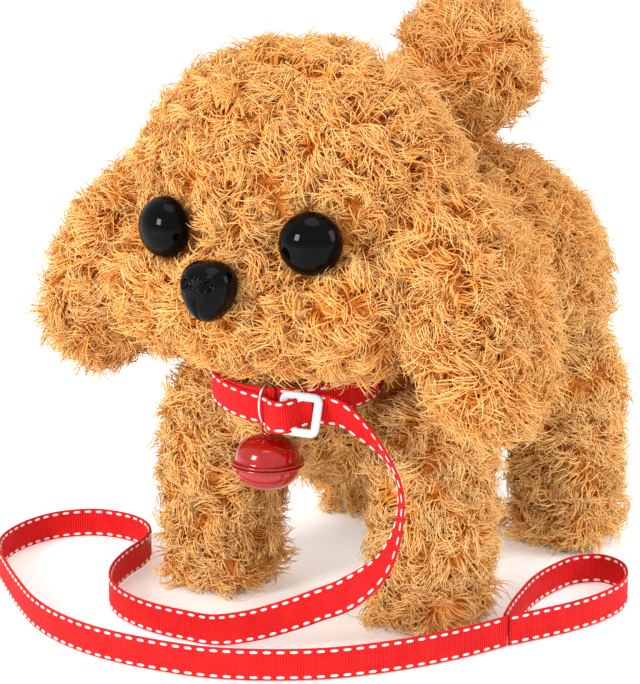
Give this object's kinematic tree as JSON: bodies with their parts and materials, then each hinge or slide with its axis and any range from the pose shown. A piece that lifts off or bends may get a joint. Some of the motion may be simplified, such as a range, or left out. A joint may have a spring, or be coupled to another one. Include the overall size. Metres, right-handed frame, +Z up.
{
  "type": "walking plush puppy",
  "caption": "Battery-driven plush puppy that walks, nods and wags its tail, with curly fur over a geared plastic body and a ribbon collar with bell and leash.",
  "frame": {"origin": "on the floor, at the middle of the puppy's footprint box measured without the leash", "axes": "+Z up, -Y the way the puppy looks, +X its left side"},
  "size_m": [0.204, 0.2327, 0.191],
  "materials": {
    "fur": "curly long-pile plush",
    "ribbon": "ribbed grosgrain with white stitching",
    "black_gloss": "polished",
    "bell_red": "gloss lacquer",
    "casing": "moulded",
    "nylon_white": "satin",
    "plastic_black": "satin",
    "steel": "ground",
    "nickel": "plated",
    "board": "solder mask",
    "cell": "printed sleeve"
  },
  "bodies": {
    "body": {"body_skin": "fur", "casing_left": "casing", "casing_right": "casing", "battery_tray": "plastic_black", "battery_cell_left": "cell", "battery_cell_right": "cell", "contact_spring_left": "nickel", "contact_spring_right": "nickel", "contact_plate": "nickel", "switch_body": "plastic_black", "speaker_basket": "steel", "speaker_cone": "plastic_black", "circuit_board": "board", "motor_can": "steel", "gearbox_plate_left": "plastic_black", "gearbox_plate_right": "plastic_black", "front_axle": "steel", "hind_axle": "steel", "neck_bracket": "casing", "neck_pin": "steel", "tail_bracket": "casing", "collar_band": "ribbon", "collar_slider": "nylon_white", "leash_ribbon": "ribbon", "leash_hand_loop": "ribbon", "bell_ring": "nickel"},
    "battery_cover": {"battery_door": "casing", "door_screw": "steel"},
    "power_switch": {"switch_slider": "plastic_black"},
    "motor_rotor": {"motor_pinion": "nylon_white"},
    "first_wheel": {"first_gear": "nylon_white"},
    "second_wheel": {"second_gear": "nylon_white"},
    "crank": {"crank_gear": "nylon_white", "crank_shaft": "steel", "crank_disc_left": "nylon_white", "crank_disc_right": "nylon_white"},
    "head": {"head_skin": "fur", "head_core": "nylon_white", "nose": "black_gloss", "eye_left": "black_gloss", "eye_right": "black_gloss", "eye_washer_left": "nylon_white", "eye_washer_right": "nylon_white"},
    "ear_left": {"ear_left": "fur"},
    "ear_right": {"ear_right": "fur"},
    "tail": {"tail_pompom": "fur", "tail_lever": "nylon_white"},
    "bell": {"bell_top": "bell_red", "bell_bottom": "bell_red", "bell_pellet": "steel", "bell_loop": "bell_red"},
    "front_leg_left": {"front_leg_skin_left": "fur", "front_leg_lever_left": "nylon_white"},
    "front_leg_right": {"front_leg_skin_right": "fur", "front_leg_lever_right": "nylon_white"},
    "hind_leg_left": {"hind_leg_skin_left": "fur", "hind_leg_lever_left": "nylon_white"},
    "hind_leg_right": {"hind_leg_skin_right": "fur", "hind_leg_lever_right": "nylon_white"}
  },
  "joints": [
    {"name": "crank_spin", "type": "hinge", "parent": "body", "child": "crank", "pos_m": [0, 0.01, 0.082], "axis": [1, 0, 0], "continuous": true},
    {"name": "second_gear_spin", "type": "hinge", "parent": "body", "child": "second_wheel", "pos_m": [0, 0.02397, 0.08709], "axis": [1, 0, 0], "continuous": true},
    {"name": "first_gear_spin", "type": "hinge", "parent": "body", "child": "first_wheel", "pos_m": [0, 0.03536, 0.09664], "axis": [1, 0, 0], "continuous": true},
    {"name": "motor_spin", "type": "hinge", "parent": "body", "child": "motor_rotor", "pos_m": [0, 0.04797, 0.08876], "axis": [1, 0, 0], "continuous": true},
    {"name": "front_leg_swing_left", "type": "hinge", "parent": "body", "child": "front_leg_left", "pos_m": [0, -0.039, 0.066], "axis": [1, 0, 0], "range_deg": [-12, 12]},
    {"name": "front_leg_swing_right", "type": "hinge", "parent": "body", "child": "front_leg_right", "pos_m": [0, -0.039, 0.066], "axis": [1, 0, 0], "range_deg": [-12, 12]},
    {"name": "hind_leg_swing_left", "type": "hinge", "parent": "body", "child": "hind_leg_left", "pos_m": [0, 0.059, 0.066], "axis": [1, 0, 0], "range_deg": [-12, 12]},
    {"name": "hind_leg_swing_right", "type": "hinge", "parent": "body", "child": "hind_leg_right", "pos_m": [0, 0.059, 0.066], "axis": [1, 0, 0], "range_deg": [-12, 12]},
    {"name": "head_nod", "type": "hinge", "parent": "body", "child": "head", "pos_m": [0, -0.041, 0.098], "axis": [1, 0, 0], "range_deg": [-6, 6]},
    {"name": "ear_lift_left", "type": "hinge", "parent": "head", "child": "ear_left", "pos_m": [0.044, -0.057, 0.142], "axis": [0, -1, 0], "range_deg": [0, 45]},
    {"name": "ear_lift_right", "type": "hinge", "parent": "head", "child": "ear_right", "pos_m": [-0.044, -0.057, 0.142], "axis": [0, 1, 0], "range_deg": [0, 45]},
    {"name": "tail_wag", "type": "hinge", "parent": "body", "child": "tail", "pos_m": [0, 0.057, 0.117], "axis": [0, 1, 0], "range_deg": [-18, 18]},
    {"name": "switch_slide", "type": "slide", "parent": "body", "child": "power_switch", "axis": [1, 0, 0], "range_m": [0, 0.004]},
    {"name": "battery_door_tilt", "type": "hinge", "parent": "body", "child": "battery_cover", "pos_m": [0, -0.0064, 0.0497], "axis": [-1, 0, 0], "range_deg": [0, 35]},
    {"name": "bell_swing", "type": "hinge", "parent": "body", "child": "bell", "pos_m": [0.0047, -0.081, 0.07], "axis": [1, 0, 0], "range_deg": [-40, 1]}
  ],
  "couplings": [
    {"joint": "first_gear_spin", "follows": "motor_spin", "ratio": -0.33333},
    {"joint": "second_gear_spin", "follows": "motor_spin", "ratio": 0.11111},
    {"joint": "crank_spin", "follows": "motor_spin", "ratio": -0.037037},
    {"joint": "hind_leg_swing_left", "follows": "front_leg_swing_left", "ratio": -1},
    {"joint": "front_leg_swing_right", "follows": "front_leg_swing_left", "ratio": -1},
    {"joint": "hind_leg_swing_right", "follows": "front_leg_swing_left", "ratio": 1},
    {"joint": "tail_wag", "follows": "front_leg_swing_left", "ratio": 1.5}
  ]
}
